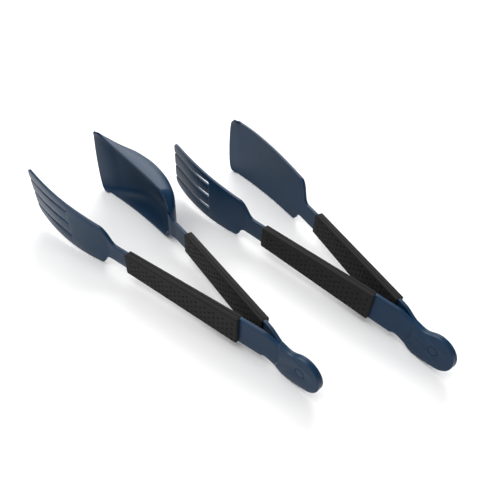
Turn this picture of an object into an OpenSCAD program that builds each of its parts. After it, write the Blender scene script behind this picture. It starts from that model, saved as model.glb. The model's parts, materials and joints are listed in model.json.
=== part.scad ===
// Set of two spring-loaded kitchen tongs that lie side by side on their edges.
// Each pair has a fork arm and one plain arm, which ends in a deep scoop or in a turner.
// Lengths along an arm are measured from its bending line, towards the head.

/* [Joined end] */
// Diameter of the round end
end_d = 28; // [24:0.5:36]
// Thickness of each end plate
end_t = 2.2; // [2:0.1:3]
// Distance from the rivet to the bending line
bend_x = 22; // [20:0.5:30]
// Depth of the plates' heel below the rivet
heel_drop = 17.2; // [15:0.2:19]
// Height of the plates and arms at the bending line
waist_h = 24.4; // [20:0.2:27]
// Diameter of the rivet shank
rivet_d = 4; // [3:0.25:5]
// Diameter of the caps over the rivet
cap_d = 7.2; // [6.5:0.1:9]

/* [Arms] */
// Angle of each arm from the middle of the tongs at rest
open_deg = 9.9; // [8:0.1:14]
// Thickness of the arms
arm_t = 2.6; // [2.4:0.1:3.6]
// Height of the shank behind the grip
shank_h = 26; // [22:0.2:28]
// Height of the neck in front of the grip
neck_h = 17.2; // [14:0.2:19]
// Length of the neck between grip and head
neck_l = 21; // [16:0.5:30]
// How much nearer the joint the plain arm's grip and head start
stagger = 13; // [8:0.5:16]

/* [Grips] */
// Distance from the bending line to the fork arm's grip
grip_start = 31; // [28:0.5:38]
// Length of the grips
grip_l = 110; // [90:1:140]
// Height of the grips at the joint end
grip_h_rear = 26; // [25:0.2:30]
// Height of the grips at the head end
grip_h_front = 20.4; // [19:0.2:24]
// Wall of the outer grip shell
grip_out_t = 2.9; // [2.4:0.1:3.6]
// Wall of the inner grip shell
grip_in_t = 1.3; // [1.2:0.1:1.6]
// Chamfer along the edges of the grips
grip_edge = 1; // [0.4:0.1:1.2]
// Number of pegs that hold each pair of shells
peg_n = 3; // [2:1:4]
// Diameter of the pegs
peg_d = 4; // [3:0.25:5]

/* [Heads] */
// Length of the fork from shoulder to tips
fork_l = 100; // [85:1:120]
// Depth of the heads' rear corners below the middle of the arm
head_drop = 18.4; // [16:0.2:19]
// Depth of the plain heads' front corners below the middle of the arm
front_drop = 20.4; // [19.6:0.2:22]
// Number of slots in the fork
slot_n = 3; // [2:1:3]
// Width of the fork's slots at their closed ends
slot_w = 3.8; // [3:0.1:5]
// Width of the fork's slots at the tips
slot_tip_w = 0.9; // [0.8:0.1:2]
// Length of the fork's closed part in front of the shoulder
palm_l = 44.5; // [40:0.5:52]
// How far the fork's tips hook inwards
fork_hook = 5.7; // [3:0.1:8]
// How far the plain heads curve inwards
plain_hook = 21.5; // [16:0.5:24]
// Depth of the scoop
scoop_depth = 22; // [16:0.5:24]
// Wall of the scoop
scoop_wall = 1.8; // [1.5:0.1:2.5]

/* [Spring] */
// Thickness of the leaf springs
leaf_t = 0.6; // [0.4:0.05:0.8]
// Width of the leaf springs
leaf_w = 11; // [8:0.5:13]
// Length of each leaf spring inside its arm
leaf_arm_l = 15; // [10:0.5:17]
// Length of each leaf spring behind the bending line
leaf_end_l = 30; // [27:0.5:33]

/* [Hidden] */
$fn = 48;

// Colours
nylon = "#1f3a5a";
soft_grip = "#2b2b2b";
steel = "#c4c6c8";

// Where the two pairs lie: middle of the set, half the offset between the rivets, and splay
set_middle = [7.2, -135.5];
set_half = [42.2, -23.4];
set_splay = 3.8;

// Clearances
mid_gap = 0.1;       // from each plate and leaf to the middle plane
knuckle_gap = 0.4;   // between an end plate and its arm
leaf_gap = 0.15;     // round the leaf springs
peg_gap = 0.15;      // round the pegs in the arm
socket_gap = 0.05;   // round the pegs in the outer shell
cap_gap = 0.25;      // round the rivet caps
rivet_gap = 0.05;    // round the rivet shank

// Joined end
end_r = end_d / 2;
end_x = -2;
heel_x = 13.5;         // from the rivet to the lowest point of the heel
waist_shift = -2.2;    // from the arms' middle line to the middle of the waist
knuckle_bulge = 2.5;
cap_t = 0.5;
rivet_head_t = 0.5;
big = 400;

// Stations along the arms, for the fork arm and for the plain arm
function start_of(plain) = grip_start - (plain ? stagger : 0);
function grip_end_of(plain) = start_of(plain) + grip_l;
function head_of(plain) = grip_end_of(plain) + neck_l;
tip = head_of(false) + fork_l;
function head_l_of(plain) = tip - head_of(plain);

// The pair stands on its heel and on the front corners of its plain head
rest_span = bend_x + (tip - 9) * cos(open_deg) - heel_x;
rest_tilt = atan((front_drop - heel_drop) / rest_span);
rest_z = heel_drop * cos(rest_tilt) - heel_x * sin(rest_tilt);

// ---- Curves ----
function bez(a, b, c, d, n = 8) =
    [for (i = [0 : n]) let (t = i / n, s = 1 - t) s*s*s*a + 3*s*s*t*b + 3*s*t*t*c + t*t*t*d];
function shifted(points, v) = [for (p = points) p + v];
function reversed(points) = [for (i = [len(points) - 1 : -1 : 0]) points[i]];
function arc(c, r, a0, a1, n) = [for (i = [0 : n]) let (a = a0 + (a1 - a0) * i / n)
    c + r * [cos(a), sin(a)]];

// Sideways place of the middle of an arm at a station: straight to the shoulder, then curved
function fork_curve(r) = let (u = max(0, (r - head_of(false)) / fork_l))
    4.3 * sin(180 * min(u, 1)) - fork_hook * u * u;
function plain_curve(r) = let (u = max(0, (r - grip_end_of(true)) / (tip - grip_end_of(true))))
    -plain_hook * (0.32 * u + 0.68 * pow(u, 2.4));

// Depth of the scoop's floor behind its rim, as a fraction of the scoop's depth
scoop_depths = concat(bez([0, 0.12], [0.04, 0.42], [0.12, 0.62], [0.24, 0.8], 8),
    bez([0.24, 0.8], [0.38, 0.98], [0.54, 1.1], [0.66, 0.8], 8),
    bez([0.66, 0.8], [0.76, 0.55], [0.86, 0.2], [1.04, 0.1], 8));

// ---- Frames ----
module lay(k) {
    side = k == 0 ? -1 : 1;
    translate([set_middle.x + side * set_half.x, set_middle.y + side * set_half.y, rest_z])
        rotate([0, 0, 90 - side * set_splay]) rotate([0, -rest_tilt, 0]) children();
}
module arm_frame(turned = open_deg) {
    translate([bend_x, mid_gap + end_t / 2, 0]) rotate([0, 0, turned]) children();
}
module far_side(far) {
    if (far) mirror([0, 1, 0]) children();
    else children();
}
// Turns an outline of length and height into a plate between two sideways places
module side_plate(y0, y1) {
    translate([0, y1, 0]) rotate([90, 0, 0]) linear_extrude(y1 - y0) children();
}
module plan_plate() {
    translate([0, 0, -end_d * 2]) linear_extrude(end_d * 4) children();
}

// ---- Arm outlines, in length and height ----
rear_top = let (z = waist_shift + waist_h / 2)
    bez([0, z], [4, z + 0.4], [7, shank_h / 2], [12.5, shank_h / 2], 8);
rear_low = let (z = waist_shift - waist_h / 2, hollow = z + 3) concat(
    bez([12.5, -shank_h / 2], [11, -shank_h / 2], [11, hollow], [8, hollow], 6),
    bez([8, hollow], [6, hollow], [4, z + 1.6], [0, z], 6));
function fork_top(h) = concat(
    bez([h - 8, neck_h / 2], [h - 1, neck_h / 2 + 1], [h, 19], [h + 7, 21.5], 8),
    bez([h + 7, 21.5], [h + 30, 25.5], [h + 50, 31], [h + fork_l - 8, 34], 8),
    bez([h + fork_l - 8, 34], [h + fork_l - 5, 34.3], [h + fork_l - 2.5, 33.2], [h + fork_l - 2, 30.5], 4));
function fork_low(h) = concat(
    bez([h + fork_l - 2, -7], [h + fork_l - 4, -10.5], [h + fork_l - 10, -12], [h + fork_l - 20, -13.8], 4),
    bez([h + fork_l - 20, -13.8], [h + 60, -16], [h + 40, -head_drop], [h + 18, -head_drop], 6),
    low_corner(h));
function turner_top(h, l) = concat(
    bez([h - 6, neck_h / 2], [h, neck_h / 2 + 1.5], [h - 1, 26], [h + 6, 29.2], 8),
    bez([h + 6, 29.2], [h + 35, 33], [h + 70, 39], [h + l - 14, 39.3], 8),
    bez([h + l - 14, 39.3], [h + l - 7, 39.6], [h + l - 3, 38], [h + l - 1.6, 29], 6));
function turner_low(h, l) = concat(
    bez([h + l - 1.6, 29], [h + l + 0.4, 16], [h + l + 0.4, 1], [h + l - 1, -10], 6),
    bez([h + l - 1, -10], [h + l - 2, -17.5], [h + l - 4, -front_drop], [h + l - 9, -front_drop], 6),
    low_corner(h));
function scoop_top(h, l) = concat(
    bez([h - 4, neck_h / 2], [h + 4, neck_h / 2 + 1], [h + 5, 28], [h + 15, 31.5], 8),
    bez([h + 15, 31.5], [h + 45, 35], [h + 75, 36], [h + l - 14, 43.5], 8),
    bez([h + l - 14, 43.5], [h + l - 10, 45], [h + l - 6, 48], [h + l - 4.2, 41], 6));
function scoop_low(h, l) = concat(
    bez([h + l - 4.2, 41], [h + l + 2, 25], [h + l + 3, 1], [h + l + 2, -9], 6),
    bez([h + l + 2, -9], [h + l + 1, -16], [h + l - 2.5, -front_drop], [h + l - 9, -front_drop], 6),
    low_corner(h + 4));
// Rounded corner under the rear of a head, and the notch between it and the neck
function low_corner(h) = bez([h + 12, -head_drop], [h + 5, -head_drop - 0.3],
    [h + 8, -neck_h / 2 - 1], [h + 1, -neck_h / 2], 8);
function head_outline(kind, h, l) = kind == "fork" ? concat(fork_top(h), fork_low(h))
    : kind == "turner" ? concat(turner_top(h, l), turner_low(h, l))
    : concat(scoop_top(h, l), scoop_low(h, l));

tang_clear = 2.6;  // grip wall above and below the tang
tang_h_rear = grip_h_rear - 2 * tang_clear;
tang_h_front = grip_h_front - 2 * tang_clear;
module arm_outline(kind) {
    plain = kind != "fork";
    g0 = start_of(plain);
    g1 = grip_end_of(plain);
    outline = concat(rear_top,
        [[g0, shank_h / 2], [g0, tang_h_rear / 2], [g1, tang_h_front / 2], [g1, neck_h / 2]],
        head_outline(kind, head_of(plain), head_l_of(plain)),
        [[g1, -neck_h / 2], [g1, -tang_h_front / 2], [g0, -tang_h_rear / 2], [g0, -shank_h / 2]],
        rear_low, knuckle(0, 0));
    polygon(outline);
}
// Round back of the arm, which bulges past the bending line, from its lower to its upper end
knuckle_r = (waist_h * waist_h / 4 + knuckle_bulge * knuckle_bulge) / (2 * knuckle_bulge);
function knuckle(x, gap) = let (a = asin(waist_h / 2 / (knuckle_r + gap)))
    arc([x + knuckle_r - knuckle_bulge, waist_shift], knuckle_r + gap, 180 + a, 180 - a, 16);

// Plan of an arm, as a strip along its curve; the strip gets thinner towards the tips
function half_t(r, plain) = arm_t / 2 * (r < head_of(plain) ? 1 : 1 - 0.25 * (r - head_of(plain)) / fork_l);
function plan_stations(plain) = concat([-4, grip_end_of(plain)],
    [for (i = [1 : 22]) grip_end_of(plain) + (tip + 6 - grip_end_of(plain)) * i / 22]);
function curve_at(r, plain) = plain ? plain_curve(r) : fork_curve(r);
module arm_plan(plain) {
    stations = plan_stations(plain);
    polygon(concat([for (r = stations) [r, curve_at(r, plain) + half_t(r, plain)]],
        reversed([for (r = stations) [r, curve_at(r, plain) - half_t(r, plain)]])));
}
module peg_places(plain, inset = 17) {
    for (i = [0 : peg_n - 1])
        translate([start_of(plain) + inset + (grip_l - 2 * inset) * i / (peg_n - 1), 0, 0])
            rotate([-90, 0, 0]) children();
}
module bare_arm(kind) {
    plain = kind != "fork";
    difference() {
        intersection() {
            side_plate(-40, 40) arm_outline(kind);
            plan_plate() arm_plan(plain);
        }
        peg_places(plain) cylinder(d = peg_d + 2 * peg_gap, h = 3 * arm_t, center = true);
    }
}
module trim_at_middle() {
    difference() {
        children();
        translate([-big / 2, -big, -big / 2]) cube([big * 1.5, big + mid_gap + 0.1, big]);
        leaf_space();
    }
}
// Space that an arm leaves for its leaf spring, behind the bending line and along its inner face
module leaf_space() {
    translate([0, 0, -leaf_w / 2 - leaf_gap]) linear_extrude(leaf_w + 2 * leaf_gap) {
        translate([bend_x - 6, -1]) square([8, 1 + mid_gap + leaf_t + leaf_gap]);
        translate([bend_x, mid_gap + end_t / 2]) rotate(open_deg) translate([-6, -arm_t])
            square([6 + leaf_arm_l + 2 * leaf_gap, arm_t - end_t / 2 + leaf_t + 2 * leaf_gap]);
    }
}

// ---- Fork ----
slot_root = head_of(false) + palm_l;
slot_run = tip - slot_root;
slot_pitch = 13.2;
slot_rise = 3.2;     // how far the slots climb on their way to the tips
module slot(i) {
    z0 = 7.6 + (i - (slot_n - 1) / 2) * slot_pitch;
    stations = [for (j = [0 : 10]) j / 10];
    function edge(u, s) = [slot_root + u * (slot_run + 4),
        z0 + u * slot_rise + s * (slot_w + u * (slot_tip_w - slot_w)) / 2];
    polygon(concat(arc([slot_root, z0], slot_w / 2, 270, 90, 10), [for (u = stations) if (u > 0) edge(u, 1)],
        reversed([for (u = stations) if (u > 0) edge(u, -1)])));
}
module fork_arm_shape() {
    trim_at_middle() arm_frame() difference() {
        bare_arm("fork");
        side_plate(-40, 40) for (i = [0 : slot_n - 1]) slot(i);
    }
}

// ---- Turner ----
module turner_arm_shape() {
    trim_at_middle() arm_frame() bare_arm("turner");
}

// ---- Scoop ----
// Plan of the bowl between its rim and a floor, both set back from the rim's plane
module bowl_plan(from, back) {
    h = head_of(true);
    l = head_l_of(true);
    floor_line = [for (p = scoop_depths) let (r = h + p.x * l)
        [r, plain_curve(r) + p.y * scoop_depth - back]];
    rim_line = [for (p = scoop_depths) let (r = h + p.x * l) [r, plain_curve(r) - from]];
    polygon(concat(floor_line, reversed(rim_line)));
}
module inner_outline() {
    h = head_of(true) + scoop_wall;
    l = head_l_of(true) - scoop_wall;
    lift = [0, scoop_wall];
    polygon(concat(shifted(scoop_top(h, l + 2), -lift), shifted(scoop_low(h, l + 2), lift)));
}
module scoop_arm_shape() {
    rim_half = arm_t / 2;
    trim_at_middle() arm_frame() difference() {
        union() {
            intersection() {
                bare_arm("scoop");
                plan_plate() translate([-10, -60]) square([10 + head_of(true) + 6, 120]);
            }
            intersection() {
                side_plate(-40, 40) arm_outline("scoop");
                plan_plate() bowl_plan(rim_half, 0);
            }
        }
        intersection() {
            side_plate(-40, 40) inner_outline();
            plan_plate() bowl_plan(rim_half + 6, scoop_wall);
        }
    }
}

// ---- End plates ----
end_top = 55;        // where the round end stops above and below, from the tongs' middle line
end_low = 257;
module end_outline() {
    front = knuckle(bend_x, knuckle_gap);
    far_end = [end_x, 0];
    low_end = front[0];
    top_end = front[len(front) - 1];
    join_top = far_end + end_r * [cos(end_top), sin(end_top)];
    join_low = far_end + end_r * [cos(end_low), sin(end_low)];
    heel = [heel_x, -heel_drop];
    top = bez(join_top, join_top + 6 * [sin(end_top), -cos(end_top)], top_end - [8, 1.4], top_end, 8);
    low = concat(bez(join_low, join_low + 7 * [-sin(end_low), cos(end_low)], heel - [6, 0], heel, 8),
        bez(heel, heel + [3, 0], low_end - [3, 1.3], low_end, 6));
    polygon(concat(reversed(arc(far_end, end_r, end_top, end_low, 48)), top, reversed(front), reversed(low)));
}
module end_plate_shape() {
    difference() {
        side_plate(mid_gap, mid_gap + end_t) end_outline();
        rotate([-90, 0, 0]) cylinder(d = rivet_d + 2 * rivet_gap, h = 4 * end_t, center = true);
        translate([0, mid_gap + end_t - cap_t - rivet_head_t, 0]) rotate([-90, 0, 0])
            cylinder(d = cap_d + 2 * cap_gap, h = end_t);
        translate([bend_x - leaf_end_l - leaf_gap, -1, -leaf_w / 2 - leaf_gap])
            cube([leaf_end_l + 10, 1 + mid_gap + leaf_t + leaf_gap, leaf_w + 2 * leaf_gap]);
    }
}
module leaf_shape() {
    y0 = mid_gap;
    y1 = mid_gap + leaf_t;
    d = [cos(open_deg), sin(open_deg)];
    n = [-sin(open_deg), cos(open_deg)];
    mitre = leaf_t * tan(open_deg / 2);
    difference() {
        translate([0, 0, -leaf_w / 2]) linear_extrude(leaf_w) polygon([
            [bend_x - leaf_end_l, y0], [bend_x, y0], [bend_x, y0] + leaf_arm_l * d,
            [bend_x, y0] + leaf_arm_l * d + leaf_t * n, [bend_x - mitre, y1], [bend_x - leaf_end_l, y1]]);
        rotate([-90, 0, 0]) cylinder(d = rivet_d + 2 * rivet_gap, h = 4 * end_t, center = true);
    }
}
module rivet_shape() {
    head_y = mid_gap + end_t - cap_t - rivet_head_t;
    rotate([90, 0, 0]) {
        cylinder(d = rivet_d, h = 2 * head_y + 0.2, center = true);
        for (m = [0, 1]) mirror([0, 0, m]) translate([0, 0, head_y])
            cylinder(d = cap_d - 0.6, h = rivet_head_t);
    }
}
module caps_shape() {
    for (m = [0, 1]) mirror([0, m, 0]) translate([0, mid_gap + end_t - cap_t, 0])
        rotate([-90, 0, 0]) cylinder(d = cap_d, h = cap_t);
}

// ---- Grips ----
module grip_outline(plain) {
    g0 = start_of(plain);
    g1 = grip_end_of(plain);
    hr = grip_h_rear / 2;
    hf = grip_h_front / 2;
    nose = 2;
    heel = 1;
    half = [[g0, hr - heel], [g0 + heel, hr], [g1 - nose, hf], [g1, hf - nose]];
    polygon(concat(half, reversed([for (p = half) [p.x, -p.y]])));
}
// Wedges that take the edge off the long corners of a shell
module edge_cuts(plain, y) {
    slope = atan2((grip_h_rear - grip_h_front) / 2, grip_l);
    c = grip_edge * sqrt(2);
    for (m = [0, 1]) mirror([0, 0, m]) translate([start_of(plain), y, grip_h_rear / 2])
        rotate([0, slope, 0]) rotate([45, 0, 0]) translate([-5, -c / 2, -c / 2]) cube([grip_l + 10, c, c]);
}
module tang_space(plain) {
    g0 = start_of(plain);
    g1 = grip_end_of(plain);
    fall = (tang_h_rear - tang_h_front) / 2 / grip_l;
    half = [[g0 - 1, tang_h_rear / 2 + fall], [g1 + 1, tang_h_front / 2 - fall]];
    side_plate(-arm_t / 2, arm_t / 2)
        polygon(concat(half, reversed([for (p = half) [p.x, -p.y]])));
}
module grip_outer_shape(plain) {
    y1 = arm_t / 2 + grip_out_t;
    arm_frame() difference() {
        side_plate(0.05, y1) grip_outline(plain);
        tang_space(plain);
        edge_cuts(plain, y1);
        peg_places(plain) translate([0, 0, arm_t / 2 - 1])
            cylinder(d = peg_d + 2 * socket_gap, h = 1 + grip_out_t - 0.8);
    }
}
module grip_inner_shape(plain) {
    y0 = -arm_t / 2 - grip_in_t;
    arm_frame() {
        difference() {
            side_plate(y0, -0.05) grip_outline(plain);
            tang_space(plain);
            edge_cuts(plain, y0);
        }
        peg_places(plain) translate([0, 0, -arm_t / 2 - 0.2])
            cylinder(d = peg_d, h = 0.2 + arm_t + grip_out_t - 1);
    }
}

// ---- The pieces ----
module fork_arm(k) { color(nylon) lay(k) fork_arm_shape(); }
module scoop_arm() { color(nylon) lay(0) far_side(true) scoop_arm_shape(); }
module turner_arm() { color(nylon) lay(1) far_side(true) turner_arm_shape(); }
module grip_outer(k, far) { color(soft_grip) lay(k) far_side(far) grip_outer_shape(far); }
module grip_inner(k, far) { color(soft_grip) lay(k) far_side(far) grip_inner_shape(far); }
module end_plate(k, far) { color(nylon) lay(k) far_side(far) end_plate_shape(); }
module leaf_spring(k, far) { color(steel) lay(k) far_side(far) leaf_shape(); }
module rivet(k) { color(steel) lay(k) rivet_shape(); }
module rivet_caps(k) { color(nylon) lay(k) caps_shape(); }

fork_arm(0);  // scoop_tongs_fork_arm
grip_outer(0, false);  // scoop_tongs_fork_grip_outer
grip_inner(0, false);  // scoop_tongs_fork_grip_inner
end_plate(0, false);  // scoop_tongs_fork_end_plate
leaf_spring(0, false);  // scoop_tongs_fork_leaf_spring
scoop_arm();  // scoop_tongs_scoop_arm
grip_outer(0, true);  // scoop_tongs_scoop_grip_outer
grip_inner(0, true);  // scoop_tongs_scoop_grip_inner
end_plate(0, true);  // scoop_tongs_scoop_end_plate
leaf_spring(0, true);  // scoop_tongs_scoop_leaf_spring
rivet(0);  // scoop_tongs_rivet
rivet_caps(0);  // scoop_tongs_rivet_caps
fork_arm(1);  // turner_tongs_fork_arm
grip_outer(1, false);  // turner_tongs_fork_grip_outer
grip_inner(1, false);  // turner_tongs_fork_grip_inner
end_plate(1, false);  // turner_tongs_fork_end_plate
leaf_spring(1, false);  // turner_tongs_fork_leaf_spring
turner_arm();  // turner_tongs_turner_arm
grip_outer(1, true);  // turner_tongs_turner_grip_outer
grip_inner(1, true);  // turner_tongs_turner_grip_inner
end_plate(1, true);  // turner_tongs_turner_end_plate
leaf_spring(1, true);  // turner_tongs_turner_leaf_spring
rivet(1);  // turner_tongs_rivet
rivet_caps(1);  // turner_tongs_rivet_caps
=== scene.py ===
"""Two pairs of spring-loaded kitchen tongs, lying on their edges on a pale table."""

import json
import math

import bpy
import numpy as np
from mathutils import Matrix, Vector


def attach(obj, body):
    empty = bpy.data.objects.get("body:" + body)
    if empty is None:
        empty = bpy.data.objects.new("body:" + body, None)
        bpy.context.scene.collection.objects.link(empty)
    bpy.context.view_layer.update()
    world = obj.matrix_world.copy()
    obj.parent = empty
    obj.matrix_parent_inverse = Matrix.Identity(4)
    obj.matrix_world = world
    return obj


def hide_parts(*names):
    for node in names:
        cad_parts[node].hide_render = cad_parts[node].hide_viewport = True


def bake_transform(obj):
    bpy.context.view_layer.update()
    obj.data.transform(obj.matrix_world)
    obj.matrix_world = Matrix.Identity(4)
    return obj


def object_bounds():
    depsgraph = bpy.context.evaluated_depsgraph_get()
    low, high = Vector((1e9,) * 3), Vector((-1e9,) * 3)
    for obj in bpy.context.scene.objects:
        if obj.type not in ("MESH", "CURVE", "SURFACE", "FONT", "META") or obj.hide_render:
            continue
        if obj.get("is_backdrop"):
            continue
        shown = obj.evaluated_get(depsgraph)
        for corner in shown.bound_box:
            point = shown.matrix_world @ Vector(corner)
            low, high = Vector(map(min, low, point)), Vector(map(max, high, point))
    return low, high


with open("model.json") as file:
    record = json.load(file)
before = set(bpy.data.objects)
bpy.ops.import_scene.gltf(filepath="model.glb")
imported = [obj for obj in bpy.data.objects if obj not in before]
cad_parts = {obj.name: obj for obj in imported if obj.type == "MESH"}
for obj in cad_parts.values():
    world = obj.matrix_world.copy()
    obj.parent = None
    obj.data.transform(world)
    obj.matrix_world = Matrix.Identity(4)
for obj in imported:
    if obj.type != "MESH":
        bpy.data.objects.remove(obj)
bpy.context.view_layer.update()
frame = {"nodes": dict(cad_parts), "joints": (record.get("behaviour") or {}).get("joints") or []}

bl_info = {
    "name": "Spring-loaded tongs",
    "version": (1, 0, 0),
    "blender": (4, 5, 0),
    "location": "View3D > Sidebar > Tongs",
    "description": "Models the finished surfaces of a set of kitchen tongs on its CAD frame",
    "category": "Add Mesh",
}

MM = 0.001
PAIRS = {"scoop_tongs": "scoop", "turner_tongs": "turner"}
JOINTS = {joint["name"]: joint for joint in frame["joints"]}
EDGE_ANGLE = math.radians(38)
# Moulded edges that turn by more than this are rounded
BEVEL_ANGLE = math.radians(50)
# Blades thin to this share of the arm's thickness at their tips
BLADE_THIN = 0.75


# ---- Curves, in millimetres ----
def bez(a, b, c, d, n=24):
    """Points along a cubic curve from a to d."""
    t = np.linspace(0, 1, n + 1)[:, None]
    s = 1 - t
    a, b, c, d = (np.array(p, float) for p in (a, b, c, d))
    return s**3 * a + 3 * s * s * t * b + 3 * s * t * t * c + t**3 * d


def smooth_step(x):
    """0 before 0, 1 after 1, and smooth between."""
    x = min(1.0, max(0.0, x))
    return x * x * (3 - 2 * x)


class Outline:
    """Upper and lower edge of an arm, and the line of its front end, as heights along it."""

    def __init__(self, sizes, kind):
        plain = kind != "fork"
        self.plain = plain
        self.s = sizes
        self.start = sizes.grip_start / MM - (sizes.stagger / MM if plain else 0)
        self.grip_end = self.start + sizes.grip_length / MM
        self.head = self.grip_end + sizes.neck_length / MM
        self.tip = (sizes.grip_start + sizes.grip_length + sizes.neck_length
                    + sizes.fork_length) / MM
        self.last = self.tip - 2  # the last station, which the front end is shaped round
        self.extra_stations = []
        self.length = self.tip - self.head
        self.drop = sizes.head_drop / MM
        self.front_drop = sizes.front_drop / MM
        shank, neck = sizes.shank_height / MM / 2, sizes.neck_height / MM / 2
        waist_top = (sizes.waist_shift + sizes.waist_height / 2) / MM
        waist_low = (sizes.waist_shift - sizes.waist_height / 2) / MM
        hollow = waist_low + 3
        wall = sizes.tang_clear / MM
        tang_rear = sizes.grip_height_rear / MM / 2 - wall
        tang_front = sizes.grip_height_front / MM / 2 - wall
        rear_top = bez([0, waist_top], [4, waist_top + 0.4], [7, shank], [12.5, shank])
        rear_low = np.vstack([bez([0, waist_low], [4, waist_low + 1.6], [6, hollow], [8, hollow]),
                              bez([8, hollow], [11, hollow], [11, -shank], [12.5, -shank])])
        step = [[self.start + 0.3, shank], [self.start + 0.4, tang_rear],
                [self.grip_end - 0.4, tang_front], [self.grip_end - 0.3, neck]]
        top, low, end = getattr(self, kind)(self.head, self.length, neck)
        self.top_line = np.vstack([rear_top, step, top])
        self.low_line = np.vstack([rear_low, np.array(step) * [1, -1], low[::-1]])
        self.end_line = end

    # In the next methods h is the head's shoulder, e its front and neck half the neck's height
    def low_corner(self, h, neck):
        """Rounded corner under the rear of a head, and the notch between it and the neck."""
        return bez([h + 12, -self.drop], [h + 5, -self.drop - 0.3],
                   [h + 8, -neck - 1], [h + 1, -neck])

    def fork(self, h, length, neck):
        e = h + length
        top = np.vstack([
            bez([h - 8, neck], [h - 1, neck + 1], [h, 19], [h + 7, 21.5]),
            bez([h + 7, 21.5], [h + 30, 25.5], [h + 50, 31], [e - 8, 34]),
            bez([e - 8, 34], [e - 5, 34.3], [e - 2.5, 33.2], [e - 2, 30.5])])
        low = np.vstack([
            bez([e - 2, -7], [e - 4, -10.5], [e - 10, -12], [e - 20, -13.8]),
            bez([e - 20, -13.8], [h + 60, -16], [h + 40, -self.drop], [h + 18, -self.drop]),
            self.low_corner(h, neck)])
        return top, low, None

    def turner(self, h, length, neck):
        e = h + length
        top = np.vstack([
            bez([h - 6, neck], [h, neck + 1.5], [h - 1, 26], [h + 6, 29.2]),
            bez([h + 6, 29.2], [h + 35, 33], [h + 70, 39], [e - 14, 39.3]),
            bez([e - 14, 39.3], [e - 7, 39.6], [e - 3, 38], [e - 1.6, 29])])
        end = bez([e - 1.6, 29], [e + 0.4, 16], [e + 0.4, 1], [e - 1, -10])
        low = bez([e - 1, -10], [e - 2, -17.5],
                  [e - 4, -self.front_drop], [e - 9, -self.front_drop])
        return self.with_end(top, end, low, self.low_corner(h, neck))

    def scoop(self, h, length, neck):
        e = h + length
        top = np.vstack([
            bez([h - 4, neck], [h + 4, neck + 1], [h + 5, 28], [h + 15, 31.5]),
            bez([h + 15, 31.5], [h + 45, 35], [h + 75, 36], [e - 14, 43.5]),
            bez([e - 14, 43.5], [e - 10, 45], [e - 6, 48], [e - 4.2, 41])])
        end = bez([e - 4.2, 41], [e + 2, 25], [e + 3, 1], [e + 2, -9])
        low = bez([e + 2, -9], [e + 1, -16],
                  [e - 2.5, -self.front_drop], [e - 9, -self.front_drop])
        return self.with_end(top, end, low, self.low_corner(h + 4, neck))

    @staticmethod
    def with_end(top, end, low, corner):
        """Splits the outline at its highest and lowest points, with the front end between."""
        highest, lowest = int(np.argmax(top[:, 1])), int(np.argmin(low[:, 1]))
        front = np.vstack([top[highest:], end, low[:lowest + 1]])
        return top[:highest + 1], np.vstack([low[lowest:], corner]), front

    def top(self, r):
        return float(np.interp(r, self.top_line[:, 0], self.top_line[:, 1]))

    def low(self, r):
        return float(np.interp(r, self.low_line[:, 0], self.low_line[:, 1]))

    def side(self, r):
        """How far sideways the middle of the arm lies: straight to the head, then curved."""
        if not self.plain:
            bow = 4.3
            u = max(0.0, (r - self.head) / (self.s.fork_length / MM))
            return bow * math.sin(math.pi * min(u, 1)) - self.s.fork_hook / MM * u * u
        u = max(0.0, (r - self.grip_end) / (self.tip - self.grip_end))
        # A third of it is an even slope, and the rest gathers towards the tip
        return -self.s.plain_hook / MM * (0.32 * u + 0.68 * u**2.4)

    def along(self, r, z):
        """Moves a point onto the round back of the arm and the bulging front of its head."""
        # The back bulges, reaches a little further to narrow the gap, and fades out ahead
        bulge, reach, back_fade = 2.5, 0.3, 6
        front_start, front_run = 16, 14
        half = self.s.waist_height / MM / 2
        round_r = (half * half + bulge * bulge) / (2 * bulge)
        zc = max(-half, min(half, z - self.s.waist_shift / MM))
        back = round_r - bulge - math.sqrt(round_r**2 - zc * zc) - reach
        r_new = r + back * max(0.0, 1 - r / back_fade)
        if self.end_line is not None:
            line = self.end_line[::-1]
            out = float(np.interp(z, line[:, 1], line[:, 0])) - self.last
            r_new += out * smooth_step((r - self.tip + front_start) / front_run)
        return r_new

    def stations(self):
        """Lengths along the arm where a row of points goes: closer where its shape changes."""
        s = [0, 1.5, 3, 4.5, 6, 7, 8, 9, 9.8, 10.4, 10.9, 11.4, 12, 12.5, 14.5, self.start - 2,
             self.start + 0.3, self.start + 0.4]
        s += list(np.linspace(self.start + 8, self.grip_end - 8, 8))
        s += [self.grip_end - 0.4, self.grip_end - 0.3, self.grip_end + 4]
        s += list(np.linspace(self.head - 9, self.head + 16, 24))
        s += list(np.linspace(self.head + 18.5, self.last - 16, 28))
        s += [self.last - 15 * (1 - math.sin(math.pi / 2 * q / 14)) for q in range(15)]
        s += self.extra_stations
        return sorted(set(round(x, 4) for x in s if x <= self.last))


# ---- Where the pieces go ----
def pair_place(pair):
    """From a pair's own frame, rivet at the origin and heads towards +X, to the model's."""
    fork = JOINTS[f"{pair}_fork_squeeze"]
    plain = JOINTS[f"{pair}_{PAIRS[pair]}_squeeze"]
    a, b = Vector(fork["pos_m"]), Vector(plain["pos_m"])
    up = Vector(plain["axis"]).normalized()
    side = (a - b).normalized()
    ahead = side.cross(up)
    place = Matrix((ahead, side, up)).transposed().to_4x4()
    place.translation = (a + b) / 2 - ahead * bpy.context.scene.tongs_sizes.bend_x
    return place


def arm_place(sizes, far):
    """From an arm's own frame to its pair's; the far arm is a mirror image."""
    half = sizes.plate_thickness / 2 + sizes.middle_gap
    turned = Matrix.Translation((sizes.bend_x, half, 0)) @ Matrix.Rotation(sizes.open_angle, 4, "Z")
    return (Matrix.Scale(-1, 4, (0, 1, 0)) if far else Matrix.Identity(4)) @ turned


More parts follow.
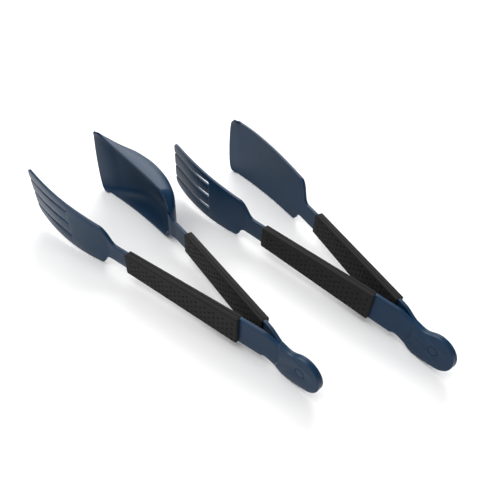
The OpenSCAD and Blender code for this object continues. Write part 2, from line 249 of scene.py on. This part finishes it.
# ---- Modelling by hand ----
def only(obj):
    """Makes obj the one selected and active object."""
    if bpy.context.object and bpy.context.object.mode != "OBJECT":
        bpy.ops.object.mode_set(mode="OBJECT")
    bpy.ops.object.select_all(action="DESELECT")
    bpy.context.view_layer.objects.active = obj
    obj.select_set(True)


def new_grid(name, columns, rows):
    """A flat grid one metre square, with so many columns and rows of faces."""
    if bpy.context.object and bpy.context.object.mode != "OBJECT":
        bpy.ops.object.mode_set(mode="OBJECT")
    bpy.ops.object.select_all(action="DESELECT")
    bpy.ops.mesh.primitive_grid_add(x_subdivisions=columns, y_subdivisions=rows, size=1,
                                    location=(0, 0, 0))
    obj = bpy.context.object
    obj.name = obj.data.name = name
    return obj


def pick(obj, kind, test):
    """In edit mode, selects the vertices, edges or faces whose middle passes the test."""
    bpy.ops.object.mode_set(mode="EDIT")
    bpy.ops.mesh.select_mode(type=kind)
    bpy.ops.mesh.select_all(action="DESELECT")
    bpy.ops.object.mode_set(mode="OBJECT")
    mesh = obj.data
    if kind == "FACE":
        for face in mesh.polygons:
            face.select = bool(test(face.center))
    elif kind == "EDGE":
        for edge in mesh.edges:
            a, b = (mesh.vertices[i].co for i in edge.vertices)
            edge.select = bool(test(a, b))
    else:
        for vertex in mesh.vertices:
            vertex.select = bool(test(vertex.co))
    bpy.ops.object.mode_set(mode="EDIT")


def apply_modifier(obj, kind, **settings):
    """Adds a modifier and applies it."""
    only(obj)
    modifier = obj.modifiers.new(kind.title(), kind)
    for key, value in settings.items():
        setattr(modifier, key, value)
    bpy.ops.object.modifier_apply(modifier=modifier.name)


def finish_mesh(obj, place):
    """Puts the place in the mesh, points the faces outwards and smooths them by angle."""
    only(obj)
    obj.data.transform(place)
    bpy.ops.object.mode_set(mode="EDIT")
    bpy.ops.mesh.select_all(action="SELECT")
    bpy.ops.mesh.remove_doubles(threshold=1e-6)
    bpy.ops.mesh.normals_make_consistent(inside=False)
    bpy.ops.object.mode_set(mode="OBJECT")
    bpy.ops.object.shade_smooth_by_angle(angle=EDGE_ANGLE)


def stand_for(obj, node, body, material):
    """The piece takes the node's place on its body, with that finish."""
    obj.data.materials.clear()
    obj.data.materials.append(material)
    if body is not None:
        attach(obj, body)
    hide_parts(node)


def copy_node(node, name):
    """A merged copy of a CAD node's mesh, for edges that need rounding."""
    obj = bpy.data.objects.new(name, frame["nodes"][node].data.copy())
    bpy.context.scene.collection.objects.link(obj)
    only(obj)
    bpy.ops.object.mode_set(mode="EDIT")
    bpy.ops.mesh.select_all(action="SELECT")
    bpy.ops.mesh.remove_doubles(threshold=2e-6)
    bpy.ops.mesh.dissolve_limited(angle_limit=math.radians(0.5))
    bpy.ops.object.mode_set(mode="OBJECT")
    return obj


# ---- Finishes ----
def linear(code):
    """An sRGB hex colour as linear red, green, blue and alpha."""
    parts = [int(code[i:i + 2], 16) / 255 for i in (1, 3, 5)]
    return [p / 12.92 if p <= 0.04045 else ((p + 0.055) / 1.055) ** 2.4 for p in parts] + [1.0]


def add_node(tree, kind, settings=None, links=None):
    """Adds a shader node, sets its sockets and fields, and links sockets to others."""
    made = tree.nodes.new(kind)
    for key, value in (settings or {}).items():
        if key in made.inputs:
            made.inputs[key].default_value = value
        else:
            setattr(made, key, value)
    for key, source in (links or {}).items():
        tree.links.new(source, made.inputs[key])
    return made


def set_ramp(node, *stops):
    """Gives a colour ramp its two stops, each a position and a colour."""
    for element, (position, colour) in zip(node.color_ramp.elements, stops):
        element.position, element.color = position, colour


def new_material(name):
    """An empty material with its output node; returns the material, tree and output."""
    made = bpy.data.materials.new(name)
    made.use_nodes = True
    made.node_tree.nodes.clear()
    return made, made.node_tree, made.node_tree.nodes.new("ShaderNodeOutputMaterial")


def moulded_nylon(colours):
    """Glass-filled nylon, injection moulded in a fine spark-eroded tool: a soft satin sheen."""
    made, tree, out = new_material("moulded_nylon_navy")
    where = add_node(tree, "ShaderNodeTexCoord")
    # The flow of the melt leaves cloudy patches some 40 mm across, a shade lighter and darker
    cloud = add_node(tree, "ShaderNodeTexNoise", {"Scale": 25.0, "Detail": 3.0},
                     {"Vector": where.outputs["Object"]})
    dark, light = linear(colours.nylon_dark), linear(colours.nylon_light)
    tint = add_node(tree, "ShaderNodeValToRGB", links={"Fac": cloud.outputs["Fac"]})
    set_ramp(tint, (0.3, dark), (0.7, light))
    # The tool's texture is 0.1 mm across; drawn at 0.5 mm, so that it still shows from here
    grain = add_node(tree, "ShaderNodeTexNoise", {"Scale": 2000.0, "Detail": 2.0},
                     {"Vector": where.outputs["Object"]})
    bump = add_node(tree, "ShaderNodeBump", {"Strength": 0.12, "Distance": 0.00005},
                    {"Height": grain.outputs["Fac"]})
    rough = add_node(tree, "ShaderNodeMapRange", {"To Min": 0.34, "To Max": 0.44},
                     {"Value": cloud.outputs["Fac"]})
    shader = add_node(tree, "ShaderNodeBsdfPrincipled", {"IOR": 1.53, "Specular IOR Level": 0.18},
                      {"Base Color": tint.outputs["Color"], "Roughness": rough.outputs["Result"],
                       "Normal": bump.outputs["Normal"]})
    tree.links.new(shader.outputs["BSDF"], out.inputs["Surface"])
    return made


def soft_rubber(colours):
    """Thermoplastic rubber moulded over the tang: matte charcoal with a faint bloom."""
    made, tree, out = new_material("thermoplastic_rubber_charcoal")
    where = add_node(tree, "ShaderNodeTexCoord")
    # Handling leaves a bloom in patches some 10 mm across
    bloom = add_node(tree, "ShaderNodeTexNoise", {"Scale": 90.0, "Detail": 4.0},
                     {"Vector": where.outputs["Object"]})
    tint = add_node(tree, "ShaderNodeValToRGB", links={"Fac": bloom.outputs["Fac"]})
    set_ramp(tint, (0.3, linear(colours.grip_dark)), (0.72, linear(colours.grip_light)))
    # The matte skin's pores are under 0.1 mm; drawn at 0.4 mm
    pores = add_node(tree, "ShaderNodeTexNoise", {"Scale": 2600.0, "Detail": 2.0},
                     {"Vector": where.outputs["Object"]})
    bump = add_node(tree, "ShaderNodeBump", {"Strength": 0.25, "Distance": 0.00006},
                    {"Height": pores.outputs["Fac"]})
    shader = add_node(tree, "ShaderNodeBsdfPrincipled",
                      {"IOR": 1.5, "Roughness": 0.68, "Specular IOR Level": 0.14,
                       "Sheen Weight": 0.02, "Sheen Roughness": 0.5},
                      {"Base Color": tint.outputs["Color"], "Normal": bump.outputs["Normal"]})
    tree.links.new(shader.outputs["BSDF"], out.inputs["Surface"])
    return made


def spring_steel(colours):
    """Stainless spring steel, cold rolled: bright, with fine lines along the strip."""
    made, tree, out = new_material("rolled_stainless_steel")
    where = add_node(tree, "ShaderNodeTexCoord")
    # Rolling lines 0.3 mm apart run along the strip, which lies close to the Y axis
    stretch = add_node(tree, "ShaderNodeMapping", {"Scale": (3300.0, 60.0, 3300.0)},
                       {"Vector": where.outputs["Object"]})
    lines = add_node(tree, "ShaderNodeTexNoise", {"Scale": 1.0, "Detail": 2.0},
                     {"Vector": stretch.outputs["Vector"]})
    rough = add_node(tree, "ShaderNodeMapRange", {"To Min": 0.2, "To Max": 0.38},
                     {"Value": lines.outputs["Fac"]})
    shader = add_node(tree, "ShaderNodeBsdfPrincipled",
                      {"Base Color": linear(colours.steel), "Metallic": 1.0},
                      {"Roughness": rough.outputs["Result"]})
    tree.links.new(shader.outputs["BSDF"], out.inputs["Surface"])
    return made


def table_paint(colours):
    """Matt white lacquer: the table the set lies on."""
    made, tree, out = new_material("matt_white_lacquer")
    where = add_node(tree, "ShaderNodeTexCoord")
    cloud = add_node(tree, "ShaderNodeTexNoise", {"Scale": 3.0, "Detail": 1.0},
                     {"Vector": where.outputs["Object"]})
    rough = add_node(tree, "ShaderNodeMapRange", {"To Min": 0.75, "To Max": 0.85},
                     {"Value": cloud.outputs["Fac"]})
    shader = add_node(tree, "ShaderNodeBsdfPrincipled",
                      {"Base Color": linear(colours.table), "Specular IOR Level": 0.1},
                      {"Roughness": rough.outputs["Result"]})
    tree.links.new(shader.outputs["BSDF"], out.inputs["Surface"])
    return made


FINISHES = {"nylon": moulded_nylon, "soft_grip": soft_rubber, "steel": spring_steel,
            "table": table_paint}


def finish(name):
    """The material of that name, made the first time it is asked for."""
    key = FINISHES[name].__name__
    if key not in finish.made:
        finish.made[key] = FINISHES[name](bpy.context.scene.tongs_colours)
    return finish.made[key]


finish.made = {}


# ---- Settings ----
def length(name, value, text):
    """A length property, given in millimetres."""
    return bpy.props.FloatProperty(name=name, description=text, default=value * MM, unit="LENGTH")


class TONGS_PG_sizes(bpy.types.PropertyGroup):
    bend_x: length("Bending line", 22, "From the rivet to the line where the arms bend")
    plate_thickness: length("End plate", 2.2, "Thickness of each end plate")
    middle_gap: length("Middle gap", 0.1, "From each end plate to the middle plane")
    waist_height: length("Waist", 24.4, "Height at the bending line")
    waist_shift: length("Waist shift", -2.2, "From the arms' middle line to the waist's middle")
    open_angle: bpy.props.FloatProperty(
        name="Opening", description="Angle of each arm from the middle of the tongs at rest",
        default=math.radians(9.9), subtype="ANGLE")
    arm_thickness: length("Arm", 2.6, "Thickness of the arms")
    shank_height: length("Shank", 26, "Height of the arm behind the grip")
    neck_height: length("Neck", 17.2, "Height of the arm in front of the grip")
    neck_length: length("Neck length", 21, "From the grip to the head")
    stagger: length("Stagger", 13, "How much nearer the joint the plain arm's grip starts")
    grip_start: length("Grip start", 31, "From the bending line to the fork arm's grip")
    grip_length: length("Grip length", 110, "Length of the grips")
    grip_height_rear: length("Grip rear", 26, "Height of the grips at the joint end")
    grip_height_front: length("Grip front", 20.4, "Height of the grips at the head end")
    grip_outer: length("Outer shell", 2.9, "Wall of the outer grip shell")
    grip_inner: length("Inner shell", 1.3, "Wall of the inner grip shell")
    grip_edge: length("Grip edge", 1.0, "Rounding along the edges of the grips")
    tang_clear: length("Grip lip", 2.6, "Grip wall above and below the tang")
    fork_length: length("Fork", 100, "From the shoulder to the tips")
    head_drop: length("Head drop", 18.4, "Depth of the heads' rear corners")
    front_drop: length("Front drop", 20.4, "Depth of the plain heads' front corners")
    slot_width: length("Slot", 3.8, "Width of the fork's slots at their closed ends")
    slot_tip: length("Slot tip", 0.9, "Width of the fork's slots at the tips")
    slot_pitch: length("Slot pitch", 13.2, "Distance between the fork's slots")
    palm_length: length("Palm", 44.5, "Length of the fork's closed part")
    fork_hook: length("Fork hook", 5.7, "How far the fork's tips hook inwards")
    plain_hook: length("Plain hook", 21.5, "How far the plain heads curve inwards")
    scoop_depth: length("Scoop depth", 22, "Depth of the scoop")
    scoop_wall: length("Scoop wall", 1.8, "Wall of the scoop")
    dimple_pitch: length("Dimple pitch", 8.2, "Distance between dimples along a row")
    dimple_row: length("Dimple rows", 2.9, "Distance between the rows of dimples")
    dimple_start: length("Dimple start", 4.2, "From the end of the grip to the first dimple")
    dimple_low: length("Dimple low", 2.6, "From the grip's lower edge to the lowest row")
    dimple_radius: length("Dimple radius", 1.15, "Radius of the dimples in the grips")
    dimple_depth: length("Dimple depth", 0.8, "Depth of the dimples in the grips")
    soft_edge: length("Soft edge", 0.5, "Rounding of the moulded edges")


class TONGS_PG_colours(bpy.types.PropertyGroup):
    nylon_dark: bpy.props.StringProperty(
        name="Nylon, dark", description="sRGB hex colour of the nylon's darker patches",
        default="#062842")
    nylon_light: bpy.props.StringProperty(
        name="Nylon, light", description="sRGB hex colour of the nylon's lighter patches",
        default="#0A2F4B")
    grip_dark: bpy.props.StringProperty(
        name="Grip, dark", description="sRGB hex colour of the clean rubber", default="#1A1A1A")
    grip_light: bpy.props.StringProperty(
        name="Grip, light", description="sRGB hex colour of the rubber's bloom", default="#1E1E1E")
    steel: bpy.props.StringProperty(
        name="Steel", description="sRGB hex colour of the spring steel", default="#C8C9CA")
    table: bpy.props.StringProperty(
        name="Table", description="sRGB hex colour of the table", default="#F7F7F7")


# ---- Arms ----
# Across the scoop: shares of its height, and of its full depth there
PAN = np.array([[0, 0], [0.02, 0.3], [0.045, 0.55], [0.085, 0.78], [0.14, 0.91], [0.22, 0.975],
                [0.35, 1], [0.5, 1], [0.65, 1], [0.78, 0.975], [0.86, 0.91], [0.915, 0.78],
                [0.955, 0.55], [0.98, 0.3], [1, 0]])


def arm_sheet(name, outline, rows, place):
    """A grid along the arm, one column of points at each station."""
    stations = outline.stations()
    obj = new_grid(name, len(stations) - 1, rows)
    for v in obj.data.vertices:
        i = round((v.co.x + 0.5) * (len(stations) - 1))
        j = round((v.co.y + 0.5) * rows)
        v.co = Vector(place(stations[i], j)) * MM
    return obj


def thicken(obj, outline, thin_from, thin_to, thin):
    """Gives the sheet its wall, which thins to a share of itself between two stations."""
    group = obj.vertex_groups.new(name="wall")
    for v in obj.data.vertices:
        r = v.co.x / MM
        share = min(1.0, max(0.0, (r - thin_from) / (thin_to - thin_from)))
        group.add([v.index], 1 - share, "REPLACE")
    apply_modifier(obj, "SOLIDIFY", thickness=outline.s.arm_thickness, offset=0, use_even_offset=True,
                   vertex_group="wall", thickness_vertex_group=thin)
    obj.vertex_groups.clear()
    apply_modifier(obj, "BEVEL", width=outline.s.soft_edge, segments=3, limit_method="ANGLE",
                   angle_limit=BEVEL_ANGLE, use_clamp_overlap=True)


def trim_to_middle(obj, sizes, far):
    """Keeps the arm's back end on its own side of the middle plane."""
    obj.data.transform(arm_place(sizes, far))
    clearance = 0.1 * MM
    least = sizes.middle_gap + clearance
    for v in obj.data.vertices:
        if far and v.co.y > -least:
            v.co.y = -least
        elif not far and v.co.y < least:
            v.co.y = least


def fork_sheet(name, sizes):
    """The fork arm: a closed palm that splits into tines with narrow, round tips."""
    outline = Outline(sizes, "fork")
    root = outline.head + sizes.palm_length / MM
    run = outline.tip - root
    half = sizes.slot_width / MM / 2
    slot_middle, slot_rise = 7.6, 3.2  # height of the middle slot, and its rise to the tips
    tip_round = 1.4
    rows, slot_rows = 7, (1, 3, 5)

    def slot_edges(r, i):
        u = (r - root) / run
        middle = slot_middle + (i - 1) * sizes.slot_pitch / MM + slot_rise * max(0.0, u)
        d = r - (root - half)
        if d <= 0:
            wide = 0.0
        elif d < half:
            wide = math.sqrt(half * half - (half - d) ** 2)
        else:
            wide = half + max(0.0, u) * (sizes.slot_tip / MM / 2 - half)
        return middle - wide, middle + wide

    def place(r, j):
        low, top = outline.low(r), outline.top(r)
        at = max(r, root - half)
        lines = [outline.low(at)]
        for i in range(3):
            lines += slot_edges(at, i)
        lines.append(outline.top(at))
        if r < root - half:
            share = (lines[j] - lines[0]) / (lines[-1] - lines[0])
            z = low + share * (top - low)
        else:
            z = lines[j]
            if r > outline.last - tip_round:
                tine = j // 2
                middle = (lines[2 * tine] + lines[2 * tine + 1]) / 2
                u = (r - outline.last + tip_round) / tip_round
                z = middle + (z - middle) * (0.62 + 0.38 * math.sqrt(max(0.0, 1 - u * u)))
        return outline.along(r, z), outline.side(r), z

    # More stations round the slots' closed ends and the tips
    outline.extra_stations = [root - half * q for q in (1, 0.95, 0.8, 0.5)] + [root, root + 1]
    outline.extra_stations += [outline.last - tip_round * q for q in (1, 0.7, 0.45, 0.25, 0.1)]
    obj = arm_sheet(name, outline, rows, place)
    only(obj)
    rows_of = face_rows(obj, len(outline.stations()) - 1)
    bpy.ops.object.mode_set(mode="EDIT")
    bpy.ops.mesh.select_mode(type="FACE")
    bpy.ops.mesh.select_all(action="DESELECT")
    bpy.ops.object.mode_set(mode="OBJECT")
    for face, row in zip(obj.data.polygons, rows_of):
        face.select = row in slot_rows
    bpy.ops.object.mode_set(mode="EDIT")
    bpy.ops.mesh.delete(type="FACE")
    bpy.ops.mesh.select_all(action="SELECT")
    bpy.ops.mesh.remove_doubles(threshold=1e-7)
    bpy.ops.object.mode_set(mode="OBJECT")
    thicken(obj, outline, outline.head, outline.tip, BLADE_THIN)
    return obj


def face_rows(obj, columns):
    """The row of each face of a grid, found from the order of its corner numbers."""
    return [min(face.vertices) // (columns + 1) for face in obj.data.polygons]


def turner_sheet(name, sizes):
    """The turner arm: a flat blade that curves inwards."""
    outline = Outline(sizes, "turner")
    # Rows of points, closer together at the upper and lower edge
    shares = 0.5 * (1 - np.cos(np.linspace(0, math.pi, 15)))

    def place(r, j):
        z = outline.low(r) + shares[j] * (outline.top(r) - outline.low(r))
        return outline.along(r, z), outline.side(r), z

    obj = arm_sheet(name, outline, len(shares) - 1, place)
    thicken(obj, outline, outline.head, outline.tip, BLADE_THIN)
    return obj


def scoop_sheet(name, sizes):
    """The scoop arm: the blade deepens into a bowl that is deepest about its middle."""
    outline = Outline(sizes, "scoop")
    depths = np.vstack([bez([0, 0.12], [0.04, 0.42], [0.12, 0.62], [0.24, 0.8]),
                        bez([0.24, 0.8], [0.38, 0.98], [0.54, 1.1], [0.66, 0.8]),
                        bez([0.66, 0.8], [0.76, 0.55], [0.86, 0.2], [1.04, 0.1])])
    full, wall = sizes.scoop_depth / MM, sizes.scoop_wall / MM
    half = sizes.arm_thickness / MM / 2
    bowl_start, front_start, front_run = 3.5, 0.8, 0.18
    rim_lead, rim_run = 6, 10

    def place(r, j):
        z = outline.low(r) + PAN[j][0] * (outline.top(r) - outline.low(r))
        u = (r - outline.head - bowl_start) / outline.length
        deep = 0.0
        if u > 0:
            deep = float(np.interp(u, depths[:, 0], depths[:, 1])) * full - wall / 2
            deep *= 1 - smooth_step((u - front_start) / front_run)
        rim = half * smooth_step((r - outline.head + rim_lead) / rim_run)
        out = outline.side(r) - rim
        if u > 0:
            out += (deep + rim) * PAN[j][1]
        return outline.along(r, z), out, z

    obj = arm_sheet(name, outline, len(PAN) - 1, place)
    thicken(obj, outline, outline.head - 4, outline.head + 6, wall / (2 * half))
    return obj


SHEETS = {"fork": fork_sheet, "turner": turner_sheet, "scoop": scoop_sheet}


class TONGS_OT_arms(bpy.types.Operator):
    """Models the four moulded nylon arms with their heads"""
    bl_idname = "tongs.arms"
    bl_label = "Arms"

    def execute(self, context):
        sizes = context.scene.tongs_sizes
        for pair, plain in PAIRS.items():
            for kind in ("fork", plain):
                obj = SHEETS[kind](f"{pair}_{kind}_arm_moulded", sizes)
                trim_to_middle(obj, sizes, kind != "fork")
                finish_mesh(obj, pair_place(pair))
                stand_for(obj, f"{pair}_{kind}_arm", f"{pair}_{kind}", finish("nylon"))
        return {"FINISHED"}


# ---- Grips ----
def grip_shell(name, sizes, outer):
    """One half of a grip: a dimpled face, rounded edges and a recess for the arm's tang."""
    columns, rows = 256, 52
    edge, half_rear = sizes.grip_edge, sizes.grip_height_rear / 2
    margin = edge + 0.15 * MM
    field_x, field_z = sizes.grip_length - 2 * margin, 2 * (half_rear - margin)
    middle = Vector((sizes.grip_length / 2, 0, 0))
    obj = new_grid(name, columns, rows)
    # Round dimples in staggered rows; the inner shell has one row more
    step_x, step_z = sizes.dimple_pitch / 2, sizes.dimple_row
    last_i = int((sizes.grip_length - 2 * sizes.dimple_start) / step_x)
    last_j = 6 if outer else 7
    flat = 0.4  # share of a dimple's radius that is its flat bottom
    for v in obj.data.vertices:
        x, y = v.co.x * field_x + middle.x, v.co.y * field_z
        u, w = (x - sizes.dimple_start) / step_x, (y + half_rear - sizes.dimple_low) / step_z
        near = sizes.grip_length
        for i in (math.floor(u), math.floor(u) + 1):
            for j in (math.floor(w), math.floor(w) + 1):
                if (i + j) % 2 == 0 and 0 <= i <= last_i and 0 <= j <= last_j:
                    near = min(near, math.hypot((u - i) * step_x, (w - j) * step_z))
        up_wall = (near - flat * sizes.dimple_radius) / ((1 - flat) * sizes.dimple_radius)
        v.co = Vector((x, y, -sizes.dimple_depth * (1 - smooth_step(up_wall))))
    only(obj)
    # The plain border round the dimples, the rounded edge and the side walls: each ring's
    # inset from the full outline, and its depth
    wall = sizes.arm_thickness / 2 + (sizes.grip_outer if outer else sizes.grip_inner)
    full = Vector((sizes.grip_length, 2 * half_rear, 0))
    rings = [(edge, 0), (edge * 0.62, 0.12 * edge), (edge * 0.27, 0.45 * edge), (0, edge),
             (0, wall - 0.4 * MM), (0.35 * MM, wall - 0.05 * MM)]

    def on_rim(p, size, level):
        return abs(p.z - level) < 1e-6 and (abs(abs(p.x - middle.x) - size.x / 2) < 1e-5
                                            or abs(abs(p.y) - size.y / 2) < 1e-5)

    def pick_rim(size, level):
        """Selects the edges round the open rim, which has this size at this level."""
        pick(obj, "EDGE", lambda a, b: on_rim(a, size, level) and on_rim(b, size, level)
             and (abs(a.x - b.x) < 1e-6 or abs(a.y - b.y) < 1e-6))

    size, level = Vector((field_x, field_z, 0)), 0.0
    for inset, down in rings:
        new_size = full - Vector((2 * inset, 2 * inset, 0))
        pick_rim(size, level)
        bpy.ops.mesh.extrude_edges_move(TRANSFORM_OT_translate={"value": (0, 0, -down - level)})
        bpy.ops.transform.resize(value=(new_size.x / size.x, new_size.y / size.y, 1),
                                 center_override=(middle.x, middle.y, -down))
        bpy.ops.object.mode_set(mode="OBJECT")
        size, level = new_size, -down
    pick_rim(size, level)
    bpy.ops.mesh.edge_face_add()
    # The recess for half the tang's thickness
    bpy.ops.mesh.inset(thickness=sizes.tang_clear - 0.3 * MM, depth=0)
    bpy.ops.mesh.extrude_region_move(TRANSFORM_OT_translate={
        "value": (0, 0, sizes.arm_thickness / 2 - 0.05 * MM)})
    bpy.ops.object.mode_set(mode="OBJECT")
    return obj, wall


def shape_grip(obj, sizes, wall, outer, plain):
    """Tapers the shell, cuts its corners and turns it onto its arm."""
    fall = 1 - sizes.grip_height_front / sizes.grip_height_rear
    start = sizes.grip_start - (sizes.stagger if plain else 0)
    half, long = sizes.grip_height_rear / 2, sizes.grip_length
    for v in obj.data.vertices:
        x, y, z = v.co
        # A chamfer of 2 mm on the head end's corners and of 1 mm on the joint end's
        for end, cut in ((long, 2.0 * MM), (0.0, 1.0 * MM)):
            over = cut - abs(end - x) - (half - abs(y))
            if over > 0:
                x += math.copysign(over / 2, long / 2 - end)
                y -= math.copysign(over / 2, y)
        y *= 1 - fall * x / long
        out = wall + z
        v.co = Vector((start + x, out if outer else -out, y))
    only(obj)


class TONGS_OT_grips(bpy.types.Operator):
    """Models the eight dimpled rubber shells of the grips"""
    bl_idname = "tongs.grips"
    bl_label = "Grips"

    def execute(self, context):
        sizes = context.scene.tongs_sizes
        for pair, plain in PAIRS.items():
            for arm in ("fork", plain):
                far = arm != "fork"
                for half in ("outer", "inner"):
                    obj, wall = grip_shell(f"{pair}_{arm}_grip_{half}_dimpled", sizes,
                                           half == "outer")
                    shape_grip(obj, sizes, wall, half == "outer", far)
                    finish_mesh(obj, pair_place(pair) @ arm_place(sizes, far))
                    stand_for(obj, f"{pair}_{arm}_grip_{half}", f"{pair}_{arm}",
                              finish("soft_grip"))
        return {"FINISHED"}


# ---- Joined ends ----
class TONGS_OT_ends(bpy.types.Operator):
    """Rounds the edges of the end plates and of the caps over the rivets"""
    bl_idname = "tongs.ends"
    bl_label = "Joined ends"

    def execute(self, context):
        soft = context.scene.tongs_sizes.soft_edge
        for pair, plain in PAIRS.items():
            for node, width in ((f"{pair}_fork_end_plate", soft), (f"{pair}_{plain}_end_plate", soft),
                                (f"{pair}_rivet_caps", 0.5 * soft)):
                obj = copy_node(node, node + "_moulded")
                apply_modifier(obj, "BEVEL", width=width, segments=3, limit_method="ANGLE",
                               angle_limit=BEVEL_ANGLE, use_clamp_overlap=True)
                finish_mesh(obj, Matrix.Identity(4))
                stand_for(obj, node, f"{pair}_end", finish("nylon"))
        return {"FINISHED"}


# ---- Springs ----
class TONGS_OT_springs(bpy.types.Operator):
    """Models the leaf springs, cut across round the bending line, and finishes the rivets"""
    bl_idname = "tongs.springs"
    bl_label = "Springs and rivets"

    def execute(self, context):
        sizes = context.scene.tongs_sizes
        cuts, step = 9, 0.8  # cross cuts, and how far apart they are
        for pair, plain in PAIRS.items():
            place = pair_place(pair)
            ahead = (place.to_3x3() @ Vector((1, 0, 0))).normalized()
            for arm in ("fork", plain):
                node = f"{pair}_{arm}_leaf_spring"
                obj = copy_node(node, node + "_strip")
                for k in range(cuts):
                    at = place @ Vector((sizes.bend_x + (k - cuts // 2) * step * MM, 0, 0))
                    only(obj)
                    bpy.ops.object.mode_set(mode="EDIT")
                    bpy.ops.mesh.select_all(action="SELECT")
                    bpy.ops.mesh.bisect(plane_co=at, plane_no=ahead)
                    bpy.ops.object.mode_set(mode="OBJECT")
                finish_mesh(obj, Matrix.Identity(4))
                stand_for(obj, node, None, finish("steel"))
                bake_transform(obj)
            rivet = frame["nodes"][f"{pair}_rivet"]
            for slot in rivet.material_slots:
                slot.material = finish("steel")
        return {"FINISHED"}


# ---- Stage ----
class TONGS_PG_stage(bpy.types.PropertyGroup):
    camera_place: bpy.props.FloatVectorProperty(
        name="Camera", description="Where the camera stands", subtype="TRANSLATION", unit="LENGTH",
        default=(-0.1858, -0.2180, 0.2963))
    heading: bpy.props.FloatProperty(
        name="Heading", description="The way the camera looks, from +X", subtype="ANGLE",
        default=math.radians(47.0))
    pitch: bpy.props.FloatProperty(
        name="Pitch", description="How far down the camera looks", subtype="ANGLE",
        default=math.radians(43.62))
    roll: bpy.props.FloatProperty(
        name="Roll", description="Turn of the camera about its view", subtype="ANGLE",
        default=math.radians(3.12))
    lens: bpy.props.FloatProperty(
        name="Lens", description="Focal length in millimetres on a sensor 36 mm wide",
        default=34.97, min=20)
    key_power: bpy.props.FloatProperty(
        name="Key light", description="Power of the main light in watts", default=24.0)
    back_power: bpy.props.FloatProperty(
        name="Back light", description="Power of the light behind the set in watts", default=22.0)
    world_glow: bpy.props.FloatProperty(
        name="Room", description="Brightness of the room round the table", default=0.5)


def soft_light(name, place, aim, size, power):
    """A square area light that points at a spot."""
    data = bpy.data.lights.new(name, "AREA")
    data.shape, data.size, data.energy = "SQUARE", size, power
    obj = bpy.data.objects.new(name, data)
    bpy.context.scene.collection.objects.link(obj)
    obj.location = place
    obj.rotation_euler = (Vector(aim) - Vector(place)).to_track_quat("-Z", "Y").to_euler()


class TONGS_OT_stage(bpy.types.Operator):
    """Sets up the table, the lights and the camera"""
    bl_idname = "tongs.stage"
    bl_label = "Stage"

    def execute(self, context):
        stage = context.scene.tongs_stage
        low, _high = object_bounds()
        under = 0.0002  # the table lies this far under the lowest piece
        bpy.ops.object.select_all(action="DESELECT")
        bpy.ops.mesh.primitive_plane_add(size=6, location=(0, 0, low[2] - under))
        table = context.object
        table.name = "table"
        table.data.materials.append(finish("table"))
        table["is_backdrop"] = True
        world = bpy.data.worlds.new("room")
        context.scene.world = world
        world.use_nodes = True
        glow = world.node_tree.nodes["Background"].inputs
        glow["Color"].default_value = (1, 1, 1, 1)
        glow["Strength"].default_value = stage.world_glow
        soft_light("key", place=(-0.4, 0.4, 1.8), aim=(0, 0, 0), size=1.6, power=stage.key_power)
        soft_light("back", place=(0.9, 0.95, 1.0), aim=(0, 0, 0), size=1.2,
                   power=stage.back_power)
        camera = bpy.data.objects.new("camera", bpy.data.cameras.new("camera"))
        context.scene.collection.objects.link(camera)
        camera.data.lens, camera.data.sensor_width = stage.lens, 36
        camera.data.clip_start, camera.data.clip_end = 0.01, 20
        cy, sy = math.cos(stage.heading), math.sin(stage.heading)
        cp, sp = math.cos(stage.pitch), math.sin(stage.pitch)
        right, up = Vector((sy, -cy, 0)), Vector((sp * cy, sp * sy, cp))
        back = Vector((-cp * cy, -cp * sy, sp))
        turned = Matrix((right, up, back)).transposed() @ Matrix.Rotation(stage.roll, 3, "Z")
        camera.matrix_world = Matrix.Translation(stage.camera_place) @ turned.to_4x4()
        context.scene.camera = camera
        context.scene.view_settings.view_transform = "Standard"
        return {"FINISHED"}


class TONGS_PT_panel(bpy.types.Panel):
    """Lists the steps that build the set"""
    bl_label = "Tongs"
    bl_idname = "TONGS_PT_panel"
    bl_space_type = "VIEW_3D"
    bl_region_type = "UI"
    bl_category = "Tongs"

    def draw(self, context):
        for operator in OPERATORS:
            self.layout.operator(operator.bl_idname)


OPERATORS = (TONGS_OT_arms, TONGS_OT_grips, TONGS_OT_ends, TONGS_OT_springs, TONGS_OT_stage)
GROUPS = {"tongs_sizes": TONGS_PG_sizes, "tongs_colours": TONGS_PG_colours,
          "tongs_stage": TONGS_PG_stage}


def register():
    for item in (*GROUPS.values(), *OPERATORS, TONGS_PT_panel):
        bpy.utils.register_class(item)
    for name, group in GROUPS.items():
        setattr(bpy.types.Scene, name, bpy.props.PointerProperty(type=group))


def unregister():
    for name in GROUPS:
        delattr(bpy.types.Scene, name)
    for item in reversed((*GROUPS.values(), *OPERATORS, TONGS_PT_panel)):
        bpy.utils.unregister_class(item)


def main():
    register()
    bpy.ops.tongs.arms()
    bpy.ops.tongs.grips()
    bpy.ops.tongs.ends()
    bpy.ops.tongs.springs()
    bpy.ops.tongs.stage()


if __name__ == "__main__":
    main()
